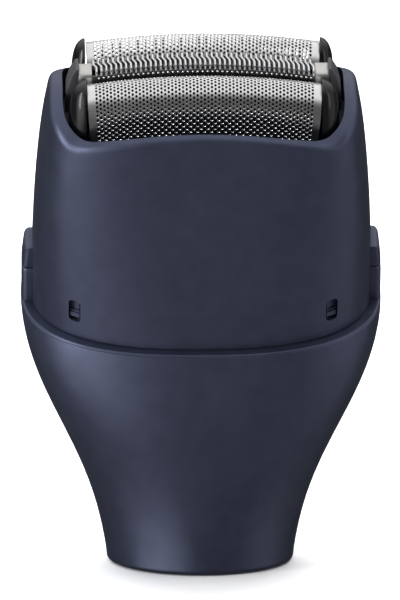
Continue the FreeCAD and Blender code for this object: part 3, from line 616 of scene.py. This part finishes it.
def perforated_foil(name, v_centre, node, body):
    """Foil sheet: staggered round holes over the crown that lengthen into slots down its sides."""
    sheet = FoilSheet(v_centre)
    limits = row_limits()
    mids = [(a + b) / 2 for a, b in zip(limits, limits[1:])]
    first = -FOIL_COLUMNS * FOIL_PITCH / 2
    stop = CROWN_R * math.pi / 2 + APEX_W - CROWN_R - FOIL_BOTTOM
    edges = [limits[-1] + (stop - limits[-1]) * k / 2 for k in range(3)]
    columns_u = []
    for i in range(FOIL_COLUMNS):
        us = [first + (i + share) * FOIL_PITCH for share in (0.0, 0.25, 0.5, 0.75, 1.0)]
        columns_u += us[:-1]
        if i % 2:
            sheet.plain(us, limits[0], mids[0])
            for k in range(len(mids) - 1):
                sheet.cell(us, mids[k], limits[k + 1], mids[k + 1])
            sheet.plain(us, mids[-1], limits[-1])
        else:
            for k in range(len(mids)):
                sheet.cell(us, limits[k], mids[k], limits[k + 1])
        for k in range(2):
            sheet.plain(us, edges[k], edges[k + 1])
            sheet.plain(us, -edges[k + 1], -edges[k])
    levels = [-s for s in reversed(edges[1:])] + sorted(limits + mids) + edges[1:]
    right_band = [-first + (FOIL_HALF_LENGTH + first) * k / 2 for k in range(3)]
    left_band = [-u for u in reversed(right_band)]
    for us in (left_band, right_band):
        for a, b in zip(levels, levels[1:]):
            sheet.plain(us, a, b)
    for u in (-FOIL_HALF_LENGTH, FOIL_HALF_LENGTH):
        sheet.rim([(u, s) for s in levels])
    for s in (-stop, stop):
        sheet.rim([(u, s) for u in left_band[:-1] + columns_u + right_band])
    piece = link_object(name, make_mesh(name, sheet.vertices, sheet.faces))
    finish_piece(piece, body, "foil_steel", [node], FOIL_SHARP)


# ---- slit blade ---------------------------------------------------------------------------------

RIB_HALF, RIB_THICK, RIB_BEVEL = 0.18, 0.2, 0.06
RIB_CORNERS = [(-RIB_HALF + RIB_BEVEL, 0), (RIB_HALF - RIB_BEVEL, 0), (RIB_HALF, -RIB_BEVEL),
               (RIB_HALF, -RIB_THICK), (-RIB_HALF, -RIB_THICK), (-RIB_HALF, -RIB_BEVEL)]


def slit_path():
    """A rib's outer line from the foot of its back to the foot of its front, as (v, w)."""
    r, d, top, steps = 0.5, SLIT_HALF_DEPTH, SLIT_APEX, 14
    back_levels, front_levels = (42.8, 43.6, 44.5, top - r), (45.3, 45.05)
    turn = (0.39, 0.79, 1.18, 1.57)
    path = [(d, w) for w in back_levels]
    path += [(d - r + r * math.cos(a), top - r + r * math.sin(a)) for a in turn]
    path += [(d - r - (2 * d - 2 * r) * k / steps, top) for k in range(1, steps + 1)]
    path += [(-d + r - r * math.sin(a), top - r + r * math.cos(a)) for a in turn]
    return path + [(-d, w) for w in front_levels]


def kink(v):
    """Sideways step of a rib, from the back half of the blade to its front half."""
    step_start, step_length = 0.5, 1.05
    return RIB_KINK * (2 * clamp((step_start - v) / step_length) - 1)


def rib_ring(x, v, w, normal):
    """A rib's section, square to its path."""
    return [head(x + across, v + normal[0] * deep, w + normal[1] * deep - arch_drop(x))
            for across, deep in RIB_CORNERS]


def slit_blade():
    """Kinked ribs from the back of the blade over to its front shoulder."""
    path = slit_path()
    vertices, faces = [], []
    for i in range(RIBS):
        x = (i - (RIBS - 1) / 2) * RIB_PITCH
        offset = len(vertices)
        for k, (v, w) in enumerate(path):
            before = path[max(0, k - 1)]
            after = path[min(len(path) - 1, k + 1)]
            run = Vector((after[0] - before[0], after[1] - before[1])).normalized()
            vertices += rib_ring(x + kink(v), v, w, (run.y, -run.x))
        corners = len(RIB_CORNERS)
        faces += grid_faces(len(path), corners, offset) + end_faces(len(path), corners, offset)
    add_piece("slit_ribs", vertices, faces, "slit_unit", "foil_steel", ["slit_blade"])


def slit_rails():
    """Dark rail under each end of the ribs; the front one stands as high as the ribs' ends."""
    stations, foot = 25, 42.6
    front = (-SLIT_HALF_DEPTH, -SLIT_HALF_DEPTH + 0.5, 45.1)
    back = (SLIT_HALF_DEPTH - 0.3, SLIT_HALF_DEPTH, 44.0)
    vertices, faces = [], []
    for v0, v1, top in (front, back):
        offset = len(vertices)
        for k in range(stations):
            x = -SLIT_HALF_LENGTH + 2 * SLIT_HALF_LENGTH * k / (stations - 1)
            for v, w in ((v0, foot), (v1, foot), (v1, top), (v0, top)):
                vertices.append(head(x, v, w - arch_drop(x)))
        faces += grid_faces(stations, 4, offset) + end_faces(stations, 4, offset)
    add_piece("slit_rails", vertices, faces, "slit_unit", "blade_steel")


def slit_tips():
    """Polished round tip in each gap along the blade's front edge."""
    radius, stand_out, level = 0.22, 0.08, 44.72
    tips = RIBS - 1
    build = bmesh.new()
    for i in range(tips):
        x = (i - (tips - 1) / 2) * RIB_PITCH + RIB_KINK
        place = Matrix.Translation(head(x, -SLIT_HALF_DEPTH - stand_out, level - arch_drop(x)))
        bmesh.ops.create_icosphere(build, subdivisions=2, radius=radius * MM, matrix=place)
    mesh = bpy.data.meshes.new("slit_tips")
    build.to_mesh(mesh)
    build.free()
    piece = link_object("slit_tips", mesh)
    finish_piece(piece, "slit_unit", "foil_steel")


# ---- springs ------------------------------------------------------------------------------------

# coils: radius, half the wire's thickness, turns
FOIL_COIL, BLADE_COIL = (0.9, 0.18, 3), (0.72, 0.16, 6)
COMB_COIL, BUTTON_COIL = (0.8, 0.16, 5), (1.1, 0.18, 5)
FOIL_SPRING_X, FOIL_SPRING_FOOT, FOIL_SPRING_LENGTH = 20.1, 25.0, 3.0
BLADE_SPRING_FOOT, BLADE_SPRING_LENGTH = 26.0, 4.5
COMB_SPRING_X, COMB_SPRING_FOOT, COMB_SPRING_LENGTH = 11, 39.05, 3.9


def helix(place, radius, wire, turns, length):
    """Vertices and faces of a round wire wound into a coil; place puts (x, y, along) in the object."""
    steps, sides = int(turns * 20), 8
    vertices = []
    for k in range(steps + 1):
        angle = 2 * math.pi * turns * k / steps
        along = wire + (length - 2 * wire) * k / steps
        for j in range(sides):
            turn = 2 * math.pi * j / sides
            r = radius + wire * math.cos(turn)
            vertices.append(place(r * math.cos(angle), r * math.sin(angle), along + wire * math.sin(turn)))
    return vertices, grid_faces(steps + 1, sides) + end_faces(steps + 1, sides)


def coil_springs(node, places, coil, length, body, joint=None):
    """Springs along the head axis at places (x, v, foot); those on a joint get a mesh of their own."""
    vertices, faces = [], []
    for x, v, foot in places:
        more, links = helix(lambda a, b, c: head(x + a, v + b, foot + c), *coil, length)
        faces += [tuple(i + len(vertices) for i in face) for face in links]
        vertices += more
    piece = add_piece(node + "_coils", vertices, faces, body, "spring_steel", [node])
    if joint:
        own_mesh(piece)


def button_coil(name, side):
    """Spring between the deck's side wall and a release button."""
    deck_wall, level, reach = 21.5, 8.5, 3.8
    vertices, faces = helix(lambda a, b, c: head(side * (deck_wall + c), a, level + b), *BUTTON_COIL, reach)
    piece = add_piece(name + "_coil", vertices, faces, "housing", "spring_steel", [name])
    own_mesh(piece)


def all_springs():
    """Springs under the foils and the slit blade, in the blades and the comb, behind the buttons."""
    for name, v, joint in (("front_foil_springs", -FOIL_V, "front_foil_float"),
                           ("rear_foil_springs", FOIL_V, "rear_foil_float"),
                           ("slit_springs", 0, "slit_float")):
        places = [(side * FOIL_SPRING_X, v, FOIL_SPRING_FOOT) for side in (-1, 1)]
        coil_springs(name, places, FOIL_COIL, FOIL_SPRING_LENGTH - sink(v), "cover", joint)
    for name, v, joint, body in (("front_blade_spring", -FOIL_V, "front_foil_float", "front_carriage"),
                                 ("rear_blade_spring", FOIL_V, "rear_foil_float", "rear_carriage")):
        place = (0, v, BLADE_SPRING_FOOT)
        coil_springs(name, [place], BLADE_COIL, BLADE_SPRING_LENGTH - sink(v), body, joint)
    places = [(side * COMB_SPRING_X, 0, COMB_SPRING_FOOT) for side in (-1, 1)]
    coil_springs("comb_springs", places, COMB_COIL, COMB_SPRING_LENGTH, "comb")
    button_coil("left_button_spring", -1)
    button_coil("right_button_spring", 1)


# ---- carried-over CAD pieces --------------------------------------------------------------------

BROKEN_EDGES = {"slit_carrier": 0.35, "left_button": 0.12, "right_button": 0.12, "foil_cassette": 0.2,
                "front_foil_holder": 0.08, "rear_foil_holder": 0.08, "slit_end_caps": 0.08,
                "button_guides": 0.1, "front_blade_carrier": 0.2, "rear_blade_carrier": 0.2,
                "comb_fork": 0.15}
SAME_POINT = 0.002            # vertices closer than this are one point
BEVEL_ABOVE = 40              # edges above this angle are broken, degrees


def sharp_edges_group():
    """Node group that smooths all edges but the sharp ones, after the other modifiers."""
    group = bpy.data.node_groups.new("keep_sharp", "GeometryNodeTree")
    group.interface.new_socket("Geometry", in_out="INPUT", socket_type="NodeSocketGeometry")
    group.interface.new_socket("Geometry", in_out="OUTPUT", socket_type="NodeSocketGeometry")
    nodes, links = group.nodes, group.links
    start, end = nodes.new("NodeGroupInput"), nodes.new("NodeGroupOutput")
    angle = nodes.new("GeometryNodeInputMeshEdgeAngle")
    compare = nodes.new("FunctionNodeCompare")
    compare.operation = "LESS_THAN"
    compare.inputs["B"].default_value = math.radians(SHARP)
    shade_edges = nodes.new("GeometryNodeSetShadeSmooth")
    shade_edges.domain = "EDGE"
    links.new(angle.outputs["Unsigned Angle"], compare.inputs["A"])
    links.new(start.outputs[0], shade_edges.inputs["Geometry"])
    links.new(compare.outputs["Result"], shade_edges.inputs["Shade Smooth"])
    links.new(shade_edges.outputs[0], end.inputs[0])
    return group


def finish_cad_nodes():
    """Gives each CAD piece its material, smooth shading and, where listed, slightly broken edges."""
    slots = {row["node"]: row["material_slot"] for row in frame["record"]["subparts"]}
    group = sharp_edges_group()
    for node, piece in frame["nodes"].items():
        piece.data.materials.clear()
        piece.data.materials.append(MATERIALS[slots[node]])
        weld = piece.modifiers.new("weld", "WELD")
        weld.merge_threshold = SAME_POINT * MM
        if node in BROKEN_EDGES:
            bevel = piece.modifiers.new("edges", "BEVEL")
            bevel.width = BROKEN_EDGES[node] * MM
            bevel.segments = 3
            bevel.limit_method = "ANGLE"
            bevel.angle_limit = math.radians(BEVEL_ABOVE)
        for face in piece.data.polygons:
            face.use_smooth = True
        sharp = piece.modifiers.new("sharp", "NODES")
        sharp.node_group = group


# ---- stage: metres ------------------------------------------------------------------------------

CAMERA_AZIMUTH, CAMERA_ELEVATION, CAMERA_DISTANCE = math.radians(-1.6), math.radians(10.6), 3.0
SHOWN_HEIGHT, SENSOR = 0.10185, 36
VIEW_CENTRE = Vector((0, 0, 0.0445))
FLOOR_SIZE, FLOOR_Z, FLOOR_COLOR = 4.0, -0.0002, (0.93, 0.93, 0.94)
LIGHT_FOCUS, FLOOR_BEHIND = (0, -0.01, 0.05), (0, 0.6, 0)
COOL_WHITE, WHITE = (0.97, 0.98, 1.0), (1, 1, 1)
# lights: name, place, target, width, height, power, colour, shown in reflections
LIGHTS = [("left_softbox", (-0.70, -0.42, 0.26), LIGHT_FOCUS, 0.16, 0.70, 4, COOL_WHITE, True),
          ("right_softbox", (0.70, -0.34, 0.25), LIGHT_FOCUS, 0.22, 0.70, 0.7, COOL_WHITE, True),
          ("top_softbox", (0.0, 0.10, 1.1), LIGHT_FOCUS, 1.3, 0.8, 13, WHITE, False),
          ("back_fill", (0.0, 1.4, 0.9), FLOOR_BEHIND, 2.0, 0.8, 30, WHITE, False)]
# surroundings: (sine of elevation, brightness), in front of the object and behind it
FRONT_GLOW = [(-1, 0.12), (-0.55, 0.10), (-0.1, 0.09), (0.3, 0.11), (0.55, 0.38), (0.74, 1.0), (1, 1.0)]
BACK_GLOW = [(-1, 0.08), (-0.3, 0.03), (0.1, 0.06), (0.4, 0.60), (0.7, 1.15), (1, 1.0)]
FRONT_LIMIT, BACK_LIMIT = -0.15, 0.35     # y between which the one turns into the other
# tall soft panels: direction, cosines from its direction where it starts and is full, and strength
SIDE_PANELS = [((-0.80, -0.60, 0), 0.76, 0.98, 1.9), ((1.0, -0.10, 0), 0.80, 0.99, 0.45)]
PANEL_FOOT, PANEL_TOP = (-0.86, -0.35), (0.55, 0.15)   # sines between which a panel fades, out and in


def aim(thing, place, target):
    """Puts a light or the camera at a place, facing the target."""
    thing.location = place
    thing.rotation_mode = "QUATERNION"
    thing.rotation_quaternion = (Vector(target) - Vector(place)).to_track_quat("-Z", "Y")


def area_light(name, place, target, width, height, power, color, glossy):
    """Softbox; glossy tells whether it shows in reflections."""
    data = bpy.data.lights.new(name, "AREA")
    data.shape = "RECTANGLE"
    data.size, data.size_y = width, height
    data.energy = power
    data.color = color
    light = link_object(name, data)
    light.visible_glossy = glossy
    aim(light, place, target)


def make_camera():
    """Long lens, slightly from the left and from above."""
    data = bpy.data.cameras.new("camera")
    cam = link_object("camera", data)
    bpy.context.scene.camera = cam
    data.sensor_width = SENSOR
    data.lens = SENSOR * CAMERA_DISTANCE / SHOWN_HEIGHT
    data.clip_start, data.clip_end = 0.05, 20
    back = Vector((math.sin(CAMERA_AZIMUTH) * math.cos(CAMERA_ELEVATION),
                   -math.cos(CAMERA_AZIMUTH) * math.cos(CAMERA_ELEVATION), math.sin(CAMERA_ELEVATION)))
    aim(cam, VIEW_CENTRE + back * CAMERA_DISTANCE, VIEW_CENTRE)


def make_floor():
    """Matt card under the object, left out of reflections."""
    corners = [(FLOOR_SIZE * x, FLOOR_SIZE * y, FLOOR_Z) for x, y in ((-1, -1), (1, -1), (1, 1), (-1, 1))]
    piece = link_object("floor", make_mesh("floor", corners, [(0, 1, 2, 3)]))
    mat = bpy.data.materials.new("floor")
    mat.use_nodes = True
    surface = mat.node_tree.nodes["Principled BSDF"]
    surface.inputs["Base Color"].default_value = (*FLOOR_COLOR, 1)
    surface.inputs["Roughness"].default_value = 0.9
    surface.inputs["Specular IOR Level"].default_value = 0.1
    piece.data.materials.append(mat)
    piece.visible_glossy = False


def ramp_of(nodes, stops):
    """Grey ramp; stops are (elevation's sine, brightness)."""
    ramp = nodes.new("ShaderNodeValToRGB")
    elements = ramp.color_ramp.elements
    while len(elements) < len(stops):
        elements.new(0.5)
    for element, (sine, level) in zip(elements, stops):
        element.position = (sine + 1) / 2
        element.color = (level, level, level, 1)
    return ramp


def add_side_panel(nodes, links, parts, lit, panel):
    """Adds a tall soft panel to the surroundings' light."""
    direction, start, full, strength = panel
    level = nodes.new("ShaderNodeCombineXYZ")
    links.new(parts["X"], level.inputs["X"])
    links.new(parts["Y"], level.inputs["Y"])
    unit = nodes.new("ShaderNodeVectorMath")
    unit.operation = "NORMALIZE"
    links.new(level.outputs["Vector"], unit.inputs[0])
    facing = nodes.new("ShaderNodeVectorMath")
    facing.operation = "DOT_PRODUCT"
    facing.inputs[1].default_value = Vector(direction).normalized()
    links.new(unit.outputs["Vector"], facing.inputs[0])
    across = map_range(nodes, links, facing.outputs["Value"], start, full, top=strength, smooth=True)
    fade = map_range(nodes, links, parts["Z"], *PANEL_TOP, smooth=True)
    rise = map_range(nodes, links, parts["Z"], *PANEL_FOOT, smooth=True)
    amount = multiply(nodes, links, across, multiply(nodes, links, fade, rise))
    factor, first, second, result = color_mix(nodes, "ADD")
    factor.default_value = 1
    links.new(lit, first)
    links.new(amount, second)
    return result


def studio_world():
    """Grey surroundings, brighter overhead and darker behind the object near the horizon.

    The camera itself sees plain white.
    """
    world = bpy.data.worlds.new("studio")
    world.use_nodes = True
    nodes, links = world.node_tree.nodes, world.node_tree.links
    place = nodes.new("ShaderNodeTexCoord")
    split = nodes.new("ShaderNodeSeparateXYZ")
    links.new(place.outputs["Generated"], split.inputs["Vector"])
    parts = split.outputs
    height = map_range(nodes, links, parts["Z"], -1, 1)
    factor, first, second, lit = color_mix(nodes)
    for stops, socket in ((FRONT_GLOW, first), (BACK_GLOW, second)):
        ramp = ramp_of(nodes, stops)
        links.new(height, ramp.inputs["Fac"])
        links.new(ramp.outputs["Color"], socket)
    links.new(map_range(nodes, links, parts["Y"], FRONT_LIMIT, BACK_LIMIT), factor)
    for panel in SIDE_PANELS:
        lit = add_side_panel(nodes, links, parts, lit, panel)
    factor, first, second, result = color_mix(nodes)
    links.new(nodes.new("ShaderNodeLightPath").outputs["Is Camera Ray"], factor)
    links.new(lit, first)
    second.default_value = (*WHITE, 1)
    links.new(result, nodes["Background"].inputs["Color"])
    bpy.context.scene.world = world


def stage():
    make_floor()
    for light in LIGHTS:
        area_light(*light)
    studio_world()
    bpy.context.scene.view_settings.view_transform = "Standard"


make_camera()
stage()
lower_housing()
upper_cover()
perforated_foil("front_perforated_foil", -FOIL_V, "front_foil", "front_foil_unit")
perforated_foil("rear_perforated_foil", FOIL_V, "rear_foil", "rear_foil_unit")
slit_blade()
slit_rails()
slit_tips()
all_springs()
finish_cad_nodes()
